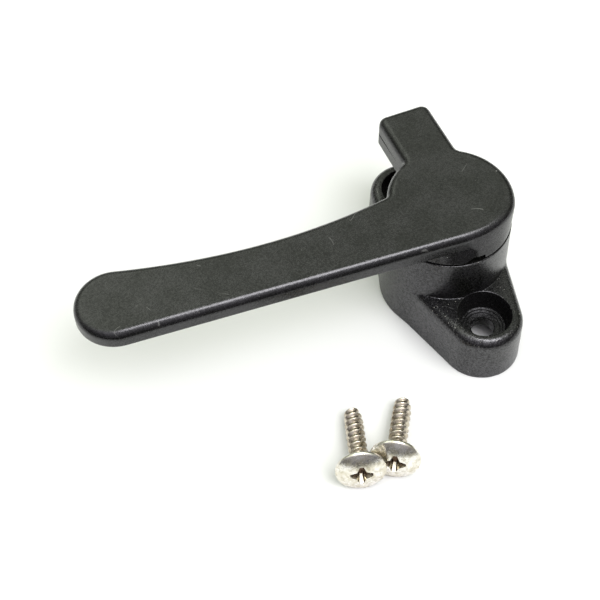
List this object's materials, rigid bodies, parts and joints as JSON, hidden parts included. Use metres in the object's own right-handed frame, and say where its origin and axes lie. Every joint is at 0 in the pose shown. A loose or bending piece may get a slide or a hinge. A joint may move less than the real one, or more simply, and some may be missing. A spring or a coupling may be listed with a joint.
{
  "type": "tilt turn handle",
  "caption": "Black tilt and turn window handle: a long flat lever with a short closing nose turns on a round boss over a lozenge base with counterbored screw holes.",
  "frame": {"origin": "on the pivot axis, in the plane of the mounting face", "axes": "+Z away from the window, along the pivot axis; +Y along the two screw holes, towards the nose at rest; the lever points to -X at rest"},
  "size_m": [0.1054, 0.078, 0.0334],
  "materials": {
    "black_nylon": "satin with a fine grain",
    "natural_acetal": "satin",
    "zinc_steel": "zinc plated",
    "nickel_steel": "bright nickel"
  },
  "bodies": {
    "base": {"base_body": "black_nylon", "recess_cap": "black_nylon", "upper_bush": "natural_acetal", "lower_bush": "natural_acetal", "thrust_washer": "natural_acetal", "stop_pin": "zinc_steel", "detent_spring_1": "zinc_steel", "detent_spring_2": "zinc_steel", "detent_ball_1": "zinc_steel", "detent_ball_2": "zinc_steel", "fixing_screw_1": "nickel_steel", "fixing_screw_2": "nickel_steel"},
    "handle": {"handle_lever": "black_nylon", "cam_plate": "black_nylon", "pivot_stud": "zinc_steel", "wave_spring": "zinc_steel", "plain_washer": "zinc_steel", "retaining_nut": "zinc_steel", "cam_plate_screw_1": "zinc_steel", "cam_plate_screw_2": "zinc_steel"}
  },
  "joints": [
    {"name": "handle_turn", "type": "hinge", "parent": "base", "child": "handle", "pos_m": [0, 0, 0], "axis": [0, 0, 1], "range_deg": [-90, 90]}
  ]
}
